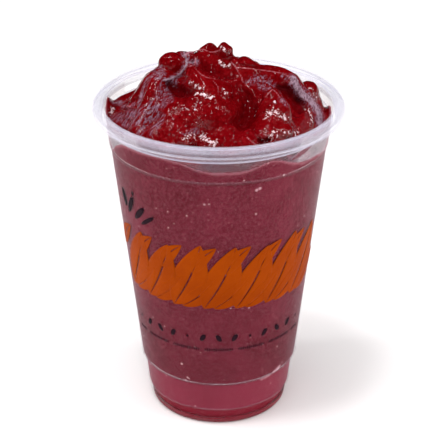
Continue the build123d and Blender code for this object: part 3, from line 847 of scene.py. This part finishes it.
# pale dabs against the wall, azimuth in degrees, height, radius, strength: foam and ice, except the row at azimuth 35
# to 51 along the waist, which is a painted highlight
DABS = [
    (35.0, 19.3, 1.4, 0.35), (38.5, 19.6, 1.6, 0.45), (42.0, 19.9, 1.7, 0.50), (45.5, 20.5, 1.7, 0.60), (49.0, 21.3, 1.5, 0.75), (51.0, 21.9, 1.1, 0.60),
    (-24.9, 20.9, 0.65, 0.80), (-23.2, 22.5, 0.65, 0.75), (-27.0, 28.5, 0.70, 0.80), (-21.0, 20.6, 0.55, 0.60),
    (19.6, 107.5, 0.9, 0.75), (21.3, 108.0, 0.9, 0.75), (-7.4, 102.5, 0.75, 0.50), (-5.0, 102.7, 0.6, 0.45), (20.0, 97.5, 0.7, 0.50),
    (163.0, 19.4, 1.5, 0.45), (167.0, 19.9, 1.4, 0.50), (-150.0, 26.0, 0.7, 0.75), (150.0, 104.0, 0.9, 0.70), (-128.0, 61.0, 0.7, 0.60),
]


def side_colour(nt, co):
    """Where the drink presses on the wall: mauve, softly mottled, with pale specks."""
    mott = tex_noise(nt, co, 45.0, 5.0, 0.6, 0.3)
    fine = tex_noise(nt, co, 900.0, 3.0, 0.75)
    c = mixed(nt, remap(nt, mott, 0.32, 0.68), lin(SIDE_A), lin(SIDE_B))
    c = mixed(nt, remap(nt, fine, 0.38, 0.72, 0.04, 0.52), c, lin(SIDE_C))
    c = mixed(nt, remap(nt, fine, 0.44, 0.22, 0.0, 0.35), c, lin(SIDE_D))
    xyz = node(nt, "ShaderNodeSeparateXYZ")
    nt.links.new(co, xyz.inputs[0])
    z = maths(nt, "DIVIDE", xyz.outputs[2], MM)
    # a little darker low down, paler below the waist, redder at the foot, and painted shade under each moulded step
    c = mixed(nt, remap(nt, z, 75.0, 30.0, 0.0, 0.18), c, lin(SIDE_D))
    c = mixed(nt, remap(nt, z, WAIST_Z + 1.0, WAIST_Z - 2.0, 0.0, 0.30), c, lin((176, 62, 88)))
    c = mixed(nt, remap(nt, z, EDGE_Z + 0.4, EDGE_Z - 0.6, 0.0, 0.55), c, lin((124, 8, 26)))
    for line in (STACK_Z - 0.2, WAIST_Z - 0.35, EDGE_Z - 0.25):
        gap = maths(nt, "ABSOLUTE", maths(nt, "SUBTRACT", z, line))
        c = mixed(nt, remap(nt, gap, 0.7, 0.2, 0.0, 0.5), c, lin((78, 6, 16)))
    c = mixed(nt, maths(nt, "MULTIPLY", specks(nt, co, 820.0, 0.14, 0.30), 0.30), c, lin((196, 136, 148)))
    c = mixed(nt, maths(nt, "MULTIPLY", specks(nt, co, 440.0, 0.10, 0.20), 0.55), c, lin((216, 170, 176)))
    c = mixed(nt, maths(nt, "MULTIPLY", specks(nt, co, 170.0, 0.035, 0.12), 0.7), c, lin((226, 186, 186)))
    c = mixed(nt, maths(nt, "MULTIPLY", attribute(nt, "shore"), 0.6), c, lin((176, 104, 116)))
    # pale dabs: foam and ice, and one painted highlight along the waist ledge
    for azimuth, height, radius, strength in DABS:
        a = math.radians(azimuth)
        r = cup_outside(height) - 0.6
        gap = node(nt, "ShaderNodeVectorMath", operation="DISTANCE")
        nt.links.new(co, gap.inputs[0])
        gap.inputs[1].default_value = (r * math.sin(a) * MM, -r * math.cos(a) * MM, height * MM)
        near = maths(nt, "DIVIDE", gap.outputs["Value"], MM)
        c = mixed(nt, remap(nt, near, radius, radius * 0.35, 0.0, strength), c, lin((204, 158, 166)))
    return c


SIDE_A, SIDE_B, SIDE_C, SIDE_D = (86, 9, 23), (107, 25, 42), (146, 66, 82), (66, 6, 17)


def drink_top_material():
    m, nt, out = new_material("berry_smoothie_top")
    L = nt.links.new
    p = node(nt, "ShaderNodeBsdfPrincipled")
    co = node(nt, "ShaderNodeTexCoord").outputs["Object"]
    froth_a, ridge_a, painted_shade_a = attribute(nt, "froth"), attribute(nt, "ridge"), attribute(nt, "painted_shade")
    icy_a, wet_a = attribute(nt, "icy"), attribute(nt, "wet")
    side_a, bend_a = attribute(nt, "side"), attribute(nt, "bend")
    # deep red, clouded with paler and darker pulp
    cloud = tex_noise(nt, co, 110.0, 4.0, 0.6, 0.4)
    pulp = tex_noise(nt, co, 800.0, 2.0, 0.65)
    red = mixed(nt, remap(nt, cloud, 0.33, 0.68), lin((95, 0, 4)), lin((109, 2, 7)))
    red = mixed(nt, remap(nt, pulp, 0.50, 0.72, 0.0, 0.45), red, lin((142, 16, 24)))
    red = mixed(nt, remap(nt, pulp, 0.46, 0.28, 0.0, 0.6), red, lin((72, 0, 3)))
    # painted highlight on sharp crests and painted shade in creases, from the bend
    red = mixed(nt, remap(nt, bend_a, 0.03, 0.14, 0.0, 0.25), red, lin((150, 14, 20)))
    red = mixed(nt, remap(nt, bend_a, -0.02, -0.12, 0.0, 0.75), red, lin((48, 0, 2)))
    # painted shade: darker red in the hollows, creases and behind the rim
    red = mixed(nt, maths(nt, "MULTIPLY", painted_shade_a, 0.62, clamp=True), red, lin((50, 1, 5)))
    # froth: mauve, drawn out in streaks and full of fine bubbles
    flow = node(nt, "ShaderNodeCombineXYZ")
    for i, (axis, stretch) in enumerate((((-0.57, -0.23, -0.79), 0.26), ((-0.37, 0.93, 0.0), 1.0), ((0.73, 0.29, -0.61), 1.0))):
        dot = node(nt, "ShaderNodeVectorMath", operation="DOT_PRODUCT")
        dot.inputs[1].default_value = axis
        L(co, dot.inputs[0])
        L(maths(nt, "MULTIPLY", dot.outputs["Value"], stretch), flow.inputs[i])
    streak = tex_noise(nt, flow.outputs[0], 1050.0, 4.0, 0.68, 0.7)
    grain = tex_noise(nt, co, 1300.0, 2.0, 0.7)
    solid = remap(nt, froth_a, 1.0, 1.5, 0.0, 1.0)
    broken = maths(nt, "MULTIPLY", remap(nt, froth_a, 0.08, 0.75), remap(nt, streak, 0.42, 0.60))
    froth_mask = maths(nt, "MAXIMUM", solid, maths(nt, "MULTIPLY", broken, 0.8))
    froth_col = mixed(nt, remap(nt, maths(nt, "ADD", maths(nt, "MULTIPLY", grain, 0.5), maths(nt, "MULTIPLY", streak, 0.5)), 0.40, 0.62), lin((70, 24, 40)), lin((142, 112, 132)))
    froth_col = mixed(nt, maths(nt, "MULTIPLY", solid, remap(nt, streak, 0.40, 0.56, 0.15, 0.75)), froth_col, lin((162, 139, 152)))
    red = mixed(nt, froth_mask, red, froth_col)
    # painted highlight: pale lines along the thin fold edges
    ridge_mask = maths(nt, "MULTIPLY", remap(nt, ridge_a, 0.25, 0.8), remap(nt, tex_noise(nt, co, 240.0, 3.0), 0.30, 0.46), clamp=True)
    red = mixed(nt, maths(nt, "MULTIPLY", ridge_mask, 0.55), red, lin((176, 106, 116)))
    # painted highlight: small pale specks in the icy zones, as sparkles
    red = mixed(nt, maths(nt, "MULTIPLY", specks(nt, co, 620.0, 0.16, 0.26), remap(nt, icy_a, 0.1, 0.9, 0.04, 0.55)), red, lin((226, 150, 154)))
    # painted highlight: broken pale flecks on the wettest crests, where the lamps' glints fall
    fleck = maths(nt, "ADD", tex_noise(nt, co, 900.0, 3.0, 0.65), maths(nt, "MULTIPLY", wet_a, 0.235))
    fleck = maths(nt, "MULTIPLY", remap(nt, fleck, 0.715, 0.775), maths(nt, "SUBTRACT", 1.0, painted_shade_a), clamp=True)
    red = mixed(nt, maths(nt, "MULTIPLY", fleck, 0.8), red, lin((240, 214, 220)))
    colour = mixed(nt, side_a, red, side_colour(nt, co))
    L(colour, p.inputs["Base Color"])
    L(remap(nt, maths(nt, "SUBTRACT", wet_a, maths(nt, "MULTIPLY", painted_shade_a, 0.6)), -0.3, 1.0, 0.08, 0.85, "LINEAR"), p.inputs["Specular IOR Level"])
    # wet all over, duller only where frothy
    dull = maths(nt, "MAXIMUM", maths(nt, "MULTIPLY", froth_mask, 0.8), side_a)
    tiny = remap(nt, tex_noise(nt, co, 200.0, 2.0), 0.35, 0.65, 0.09, 0.14)
    L(maths(nt, "ADD", tiny, maths(nt, "MULTIPLY", dull, 0.28)), p.inputs["Roughness"])
    p.inputs["IOR"].default_value = 1.45
    p.inputs["Subsurface Weight"].default_value = 0.10
    p.inputs["Subsurface Radius"].default_value = (1.0, 0.15, 0.18)
    p.inputs["Subsurface Scale"].default_value = 0.0012
    # fine relief: soft ripples, and icy grains that break the shine up
    relief = tex_noise(nt, co, 420.0, 2.0, 0.5)
    icy = tex_noise(nt, co, 900.0, 1.0, 0.6)
    patchy = remap(nt, maths(nt, "MAXIMUM", maths(nt, "MULTIPLY", icy_a, 0.35), wet_a), 0.05, 0.8, 0.10, 0.70, "LINEAR")
    both = maths(nt, "ADD", maths(nt, "MULTIPLY", relief, 0.35), maths(nt, "MULTIPLY", icy, patchy))
    b1 = node(nt, "ShaderNodeBump")
    b1.inputs["Distance"].default_value = 0.0010
    b1.inputs["Strength"].default_value = 0.9
    L(both, b1.inputs["Height"])
    L(b1.outputs[0], p.inputs["Normal"])
    L(p.outputs[0], out.inputs["Surface"])
    return m


def drink_side_material():
    m, nt, out = new_material("berry_smoothie_side")
    L = nt.links.new
    p = node(nt, "ShaderNodeBsdfPrincipled")
    co = node(nt, "ShaderNodeTexCoord").outputs["Object"]
    L(side_colour(nt, co), p.inputs["Base Color"])
    L(remap(nt, tex_noise(nt, co, 300.0, 2.0), 0.3, 0.7, 0.6, 0.75), p.inputs["Roughness"])
    p.inputs["Specular IOR Level"].default_value = 0.08
    b = node(nt, "ShaderNodeBump")
    b.inputs["Distance"].default_value = 0.0002
    b.inputs["Strength"].default_value = 0.3
    L(tex_noise(nt, co, 420.0, 3.0), b.inputs["Height"])
    L(b.outputs[0], p.inputs["Normal"])
    L(p.outputs[0], out.inputs["Surface"])
    return m


def cup_material():
    """Thin hazy plastic: mostly see-through, glossy, milkier where it is folded or bare."""
    m, nt, out = new_material("clear_cup")
    L = nt.links.new
    co = node(nt, "ShaderNodeTexCoord").outputs["Object"]
    haze_a, foot_a = attribute(nt, "haze"), attribute(nt, "foot")
    wave = node(nt, "ShaderNodeMapping")
    wave.inputs["Scale"].default_value = (1.0, 1.0, 6.0)
    L(co, wave.inputs["Vector"])
    cloudy = remap(nt, tex_noise(nt, wave.outputs[0], 60.0, 3.0), 0.3, 0.7, 0.85, 1.15)
    milk = node(nt, "ShaderNodeBsdfPrincipled")
    tone = mixed(nt, remap(nt, tex_noise(nt, co, 90.0, 3.0), 0.35, 0.65), lin((226, 226, 248)), lin((236, 234, 252)))
    # at the foot the milk takes the drink's red seen through the plastic, painted in
    L(mixed(nt, foot_a, tone, lin((128, 30, 46))), milk.inputs["Base Color"])
    milk.inputs["Roughness"].default_value = 0.35
    milk.inputs["IOR"].default_value = 1.3
    clear = node(nt, "ShaderNodeBsdfTransparent")
    gloss = node(nt, "ShaderNodeBsdfGlossy")
    gloss.inputs["Color"].default_value = (1.0, 1.0, 1.0, 1.0)
    gloss.inputs["Roughness"].default_value = 0.12
    b = node(nt, "ShaderNodeBump")
    b.inputs["Distance"].default_value = 0.0002
    b.inputs["Strength"].default_value = 0.2
    L(tex_noise(nt, co, 110.0, 2.0), b.inputs["Height"])
    L(b.outputs[0], gloss.inputs["Normal"])
    fres = node(nt, "ShaderNodeFresnel")
    fres.inputs["IOR"].default_value = 1.22
    mix1 = node(nt, "ShaderNodeMixShader")
    xyz = node(nt, "ShaderNodeSeparateXYZ")
    L(co, xyz.inputs[0])
    low = remap(nt, maths(nt, "DIVIDE", xyz.outputs[2], MM), 1.0, 6.0, 0.10, 0.27)
    L(maths(nt, "MULTIPLY", fres.outputs[0], low), mix1.inputs[0])
    L(clear.outputs[0], mix1.inputs[1])
    L(gloss.outputs[0], mix1.inputs[2])
    facing = node(nt, "ShaderNodeLayerWeight")
    facing.inputs["Blend"].default_value = 0.35
    edge = maths(nt, "MULTIPLY", maths(nt, "POWER", facing.outputs["Facing"], 3.0), 0.12)
    amount = maths(nt, "ADD", maths(nt, "MULTIPLY", haze_a, cloudy), edge, clamp=True)
    mix2 = node(nt, "ShaderNodeMixShader")
    L(amount, mix2.inputs[0])
    L(mix1.outputs[0], mix2.inputs[1])
    L(milk.outputs[0], mix2.inputs[2])
    L(mix2.outputs[0], out.inputs["Surface"])
    return m


def print_material(name, colour, dark):
    m, nt, out = new_material(name)
    L = nt.links.new
    p = node(nt, "ShaderNodeBsdfPrincipled")
    co = node(nt, "ShaderNodeTexCoord").outputs["Object"]
    patch = tex_noise(nt, co, 70.0, 4.0, 0.6)
    dots = tex_noise(nt, co, 900.0, 2.0, 0.6)
    c = mixed(nt, remap(nt, patch, 0.3, 0.7), lin(colour), lin(dark))
    c = mixed(nt, remap(nt, dots, 0.55, 0.75, 0.0, 0.35), c, lin(dark))
    L(c, p.inputs["Base Color"])
    L(remap(nt, dots, 0.3, 0.7, 0.45, 0.6), p.inputs["Roughness"])
    p.inputs["Specular IOR Level"].default_value = 0.03
    L(p.outputs[0], out.inputs["Surface"])
    return m


drink_mat = drink_top_material()
side_mat = drink_side_material()
cup_mat = cup_material()
orange_mat = print_material("print_orange", (158, 64, 0), (146, 56, 0))
dark_mat = print_material("print_dark", (30, 16, 24), (44, 22, 32))

# ---- the drink -------------------------------------------------------------

smoothie = mesh_from("smoothie_drink", V, [Q], drink_mat)
smoothie.data.materials.append(side_mat)
pressed = (on_wall | on_floor)[Q].all(axis=1)
if len(smoothie.data.polygons) == len(Q):
    smoothie.data.polygons.foreach_set("material_index", pressed.astype(np.int32))
shore = np.exp(-((V[:, 2] - edge_v + 0.35) / 0.45) ** 2) * (np.hypot(V[:, 0], V[:, 1]) > wall_r - 0.6)
for name, values in (("side", side), ("shore", shore), ("froth", froth), ("ridge", ridge), ("icy", icy), ("wet", wet), ("painted_shade", painted_shade), ("bend", bend)):
    a = smoothie.data.attributes.new(name, "FLOAT", "POINT")
    a.data.foreach_set("value", values.astype(np.float32))
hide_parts("smoothie")
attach(smoothie, "root")

# ---- the cup ---------------------------------------------------------------

bead_r = RIM_R - BEAD_W
curl = np.radians(np.linspace(180.0, -125.0, 92))
join_z = BEAD_Z - 1.6
z_side = np.unique(np.concatenate([
    np.linspace(FOOT_Z, 5.6, 6), np.linspace(5.8, 8.6, 15), np.linspace(9.5, 18.5, 6),
    np.linspace(18.9, 21.9, 17), np.linspace(24.0, 108.5, 30), np.linspace(109.2, 112.8, 17),
    [114.0, 115.5, 117.0, 118.4], np.linspace(119.2, 120.8, 9), [121.4, join_z]]))
outer = [(float(cup_line(v)), float(v)) for v in z_side]
inner = [(float(cup_line(v)) - WALL, float(v)) for v in z_side]
foot_line = [(0.0, BASE_RISE - BASE_SAG), (8.0, BASE_RISE - BASE_SAG * 0.9), (16.0, BASE_RISE - BASE_SAG * 0.45),
        (RING_IN - 1.9, BASE_RISE), (RING_IN - 1.2, BASE_RISE - 0.25), (RING_IN - 0.3, 0.7), (RING_IN, 0.3),
        (RING_IN + 0.25, 0.06), (RING_IN + 0.6, 0.0), (RING_R + 0.2, 0.0), (RING_R + 0.75, 0.12),
        (RING_R + 1.25, 0.5), (RING_R + 1.6, 1.1), (outer[0][0] - 0.08, 1.7)]
curl_in = [(bead_r + (BEAD_W - WALL) * math.cos(a), BEAD_Z + (BEAD_H - WALL) * math.sin(a)) for a in curl]
curl_out = [(bead_r + BEAD_W * math.cos(a), BEAD_Z + BEAD_H * math.sin(a)) for a in curl]
inside = [(inner[0][0] - 0.25, BASE_RISE + WALL + 0.15), (inner[0][0] - 1.0, BASE_RISE + WALL),
          (RING_IN - 1.6, BASE_RISE + WALL), (12.0, BASE_RISE + WALL - BASE_SAG * 0.7), (0.0, BASE_RISE + WALL - BASE_SAG)]
inner_down = [p for p in inner[::-1] if p[1] > BASE_RISE + WALL + 0.3]
profile = foot_line + outer + curl_in + curl_out[::-1] + inner_down + inside
cup = turned("cup_wall", profile, 224, cup_mat)


def cup_haze():
    """How milky each point of the cup looks: the curl most, then bare wall, and least
    where the drink wets it. The paler lines at the neck, at each moulded step and round the curl are painted
    highlights."""
    co = np.zeros(len(cup.data.vertices) * 3, np.float32)
    cup.data.vertices.foreach_get("co", co)
    p = co.reshape(-1, 3).astype(float) / MM
    r, z = np.hypot(p[:, 0], p[:, 1]), p[:, 2]
    az = np.degrees(np.arctan2(p[:, 0], -p[:, 1]))
    wet = 1.0 - smooth((z - edge_height(az) + 0.6) / 0.8)
    haze = (0.055 - 0.025 * smooth((np.abs(az) - 80.0) / 25.0)) * (1.0 - wet) + 0.004 * wet
    # painted highlights: pale lines at the neck and at each moulded step
    for zc, amount, width in ((NECK_Z, 0.42, 0.26), (STACK_Z + 0.75, 0.06, 0.24), (WAIST_Z + 0.65, 0.07, 0.35), (EDGE_Z + 0.75, 0.07, 0.35)):
        haze = haze + amount * np.exp(-((z - zc) / width) ** 2)
    turn = np.degrees(np.arctan2((z - BEAD_Z) / BEAD_H, (r - bead_r) / BEAD_W))
    full = np.hypot((z - BEAD_Z) / BEAD_H, (r - bead_r) / BEAD_W)
    curl_zone = (z > join_z + 0.05) & (full > 0.5)
    bead = 0.055 + 0.09 * smooth((turn + 10.0) / 60.0)
    # painted highlights round the curl, with two less milky bands
    for tc, amount, width in ((152.0, 0.30, 6.0), (118.0, 0.08, 5.0), (78.0, 0.05, 3.6), (50.0, -0.035, 8.0), (24.0, 0.05, 3.6), (-12.0, 0.36, 4.0), (-62.0, -0.035, 22.0), (-120.0, 0.10, 6.0)):
        bead = bead + amount * np.exp(-(((turn - tc + 180.0) % 360.0 - 180.0) / width) ** 2)
    haze = np.where(curl_zone, bead, haze)
    foot = 1.0 - smooth((z - 2.6) / 1.4)
    # the foot's red tint is the drink's colour seen through the plastic, painted in
    tint = 1.0 - smooth((z - 5.2) / 1.0)
    return np.clip(haze + 0.78 * foot, 0.0, 0.95), tint


for name, values in zip(("haze", "foot"), cup_haze()):
    a = cup.data.attributes.new(name, "FLOAT", "POINT")
    a.data.foreach_set("value", values.astype(np.float32))
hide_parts("cup")
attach(cup, "root")


# ---- the print: plain shapes on the outside of the wall ---------------------

def on_cup(azimuth, z, lift):
    r = cup_line(z) + lift
    a = np.radians(azimuth)
    return np.stack([r * np.sin(a), -r * np.cos(a), z + 0.0 * a], axis=-1)


def skin(az, z, lift=0.05, thick=0.04):
    """A thin closed skin over a grid of azimuths and heights."""
    top = on_cup(az, z, lift)
    bottom = on_cup(az, z, lift - thick)
    n, m = z.shape
    idx = np.arange(n * m).reshape(n, m)
    front = np.stack([idx[:-1, :-1], idx[:-1, 1:], idx[1:, 1:], idx[1:, :-1]], axis=-1).reshape(-1, 4)
    rim = np.concatenate([idx[0, :-1], idx[:-1, -1], idx[-1, :0:-1], idx[:0:-1, 0]])
    nxt = np.roll(rim, -1)
    edge = np.stack([nxt, rim, rim + n * m, nxt + n * m], axis=-1)
    return np.vstack([top.reshape(-1, 3), bottom.reshape(-1, 3)]), [front, (front + n * m)[:, ::-1], edge]


def merged(name, parts, material):
    verts, faces, at = [], [], 0
    for v, fs in parts:
        verts.append(v)
        faces += [f + at for f in fs]
        at += len(v)
    obj = mesh_from(name, np.concatenate(verts), [np.concatenate(faces)], material)
    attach(obj, "root")
    return obj


def half_leaf(az0, z0, az1, z1, width, bow, hand, slit=0.55, n=25, rows=7):
    """One side of a leaf whose rib runs from (az0, z0) to (az1, z1); width and slit in mm."""
    t = np.linspace(0.0, 1.0, n)
    arc = math.radians(1.0) * float(cup_line((z0 + z1) / 2.0))          # mm for one degree
    dx, dz = (az1 - az0) * arc, z1 - z0
    length = math.hypot(dx, dz)
    nx_, nz_ = -dz / length, dx / length
    swing = bow * np.sin(np.pi * t)
    rx, rz = az0 * arc + dx * t + nx_ * swing, z0 + dz * t + nz_ * swing
    full = width * np.sin(np.pi * t ** 0.85) ** 0.8 + 0.02
    near = np.minimum(slit * 0.5 * np.sin(np.pi * t) ** 0.5, full * 0.6)
    s_ = np.linspace(0.0, 1.0, rows)[:, None]
    off = hand * (near[None, :] * (1 - s_) + full[None, :] * s_)
    x, z = rx[None, :] + nx_ * off, rz[None, :] + nz_ * off
    if hand > 0:
        x, z = x[::-1], z[::-1]
    return skin(x / arc, z)


# A frieze of broad slanting leaves where the cup carries its orange printing.
leaves = []
for side_c in (0.0, 180.0):
    for k in range(-3, 4):
        base = side_c + k * 19.5
        tall = (84.2, 83.0, 85.0)[k % 3]
        for hand in (1.0, -1.0):
            leaves.append(half_leaf(base - 9.0, 56.8, base + 9.5, tall, 6.6, -1.6, hand))
        for hand in (1.0, -1.0):
            leaves.append(half_leaf(base - 3.0, 57.0, base + 17.5, 70.5, 3.6, -1.2, hand, slit=0.4))
            leaves.append(half_leaf(base - 15.5, 72.5, base - 1.5, 84.0, 2.9, 1.2, hand, slit=0.4))
merged("print_band", leaves, orange_mat)


def pill(azimuth, z, half_az, half_z, power=2.0, n=15, slant=0.0):
    s_ = np.sin(np.linspace(-1, 1, n) * np.pi / 2)
    e = (1 - np.abs(s_) ** power) ** (1 / power) * half_z
    t = np.linspace(-1, 1, 5)[:, None]
    return skin(azimuth + s_[None, :] * half_az + slant * t * e[None, :], z + t * e[None, :])


marks = []
for side_c in (0.0, 180.0):
    for k in range(-6, 7):
        az = side_c + k * 10.4
        if k % 4 == 2:
            marks.append(pill(az, 43.2, 0.8, 0.6))
        else:
            marks.append(pill(az, 43.2, 1.7, 1.5, 2.6, slant=0.6 if k % 2 else -0.6))
    for k in range(-44, 45):
        if abs(k) % 15 in (7, 8):
            continue
        marks.append(pill(side_c + k * 1.5, 37.7, 0.42, 0.75 if k % 3 else 0.5, 3.0, n=7))
    for az, z, a_, b_, sl in ((-62.5, 95.5, 1.9, 3.6, -0.3), (-56.0, 94.0, 2.0, 3.9, 0.7), (-48.5, 92.2, 2.4, 3.2, 1.2),
                              (-42.5, 90.4, 2.0, 2.6, 1.8), (-52.6, 99.5, 0.9, 0.9, 0.0)):
        marks.append(pill(side_c + az, z, a_, b_, 2.0, slant=sl))
merged("print_marks", marks, dark_mat)

# ---------------------------------------------------------------------------
# Floor, light, camera
# ---------------------------------------------------------------------------

m, nt, out = new_material("floor")
p = node(nt, "ShaderNodeBsdfPrincipled")
p.inputs["Base Color"].default_value = (0.96, 0.96, 0.96, 1.0)
p.inputs["Roughness"].default_value = 0.7
p.inputs["Specular IOR Level"].default_value = 0.2
nt.links.new(p.outputs[0], out.inputs["Surface"])
bpy.ops.mesh.primitive_plane_add(size=6.0, location=(0, 0, cup_low.z))
floor = bpy.context.object
floor.name = "floor"
floor.data.materials.append(m)

world = bpy.data.worlds.new("studio")
world.use_nodes = True
world.node_tree.nodes["Background"].inputs[0].default_value = (1.0, 1.0, 1.0, 1.0)
world.node_tree.nodes["Background"].inputs[1].default_value = 0.43
bpy.context.scene.world = world
world.cycles_visibility.glossy = False


def area(name, place, target, size, power, colour=(1, 1, 1), glint=True):
    light = bpy.data.lights.new(name, "AREA")
    light.shape = "RECTANGLE"
    light.size, light.size_y = size
    light.energy = power
    light.color = colour
    o = bpy.data.objects.new(name, light)
    bpy.context.scene.collection.objects.link(o)
    o.location = place
    o.rotation_euler = (Vector(target) - Vector(place)).to_track_quat("-Z", "Y").to_euler()
    o.visible_glossy = glint
    return o


area("soft", (-0.3, -0.45, 2.2), (0, 0.1, 0.0), (2.0, 1.8), 24.0, glint=False)
area("left_fill", (-1.25, -0.45, 0.55), (0, 0, 0.08), (0.7, 0.7), 6.1, (1.0, 0.87, 0.88), glint=False)
area("right_fill", (1.25, -0.45, 0.55), (0, 0, 0.08), (0.7, 0.7), 7.5, (1.0, 0.87, 0.88), glint=False)
area("top", (-0.22, -0.24, 1.42), (0, 0, 0.13), (0.15, 0.15), 4.6)
area("front", (0.08, -0.98, 0.82), (0, 0, 0.13), (0.11, 0.11), 1.3)
area("left", (-0.82, 0.02, 1.05), (0, 0, 0.13), (0.12, 0.12), 1.8)
area("right", (0.92, 0.02, 0.78), (0, 0, 0.13), (0.12, 0.12), 1.4)

C = (0.0, -518.73 * MM, 338.54 * MM)
cam_data = bpy.data.cameras.new("camera")
cam_data.sensor_width = 36.0
cam_data.lens = 1500.0 / 440.0 * 36.0
cam_data.clip_start, cam_data.clip_end = 0.01, 20.0
cam = bpy.data.objects.new("camera", cam_data)
bpy.context.scene.collection.objects.link(cam)
cam.location = C
pitch = math.radians(27.89) - math.atan2(28.3, 1500.0)
yaw = math.atan2(1.45, 1500.0)
cam.rotation_euler = (math.radians(90.0) - pitch, 0.0, -yaw)
bpy.context.scene.camera = cam
bpy.context.scene.view_settings.view_transform = "Standard"
bpy.context.scene.view_settings.look = "None"

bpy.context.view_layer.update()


print("drink vertices", len(V), "quads", len(Q), "cup", len(cup.data.polygons))
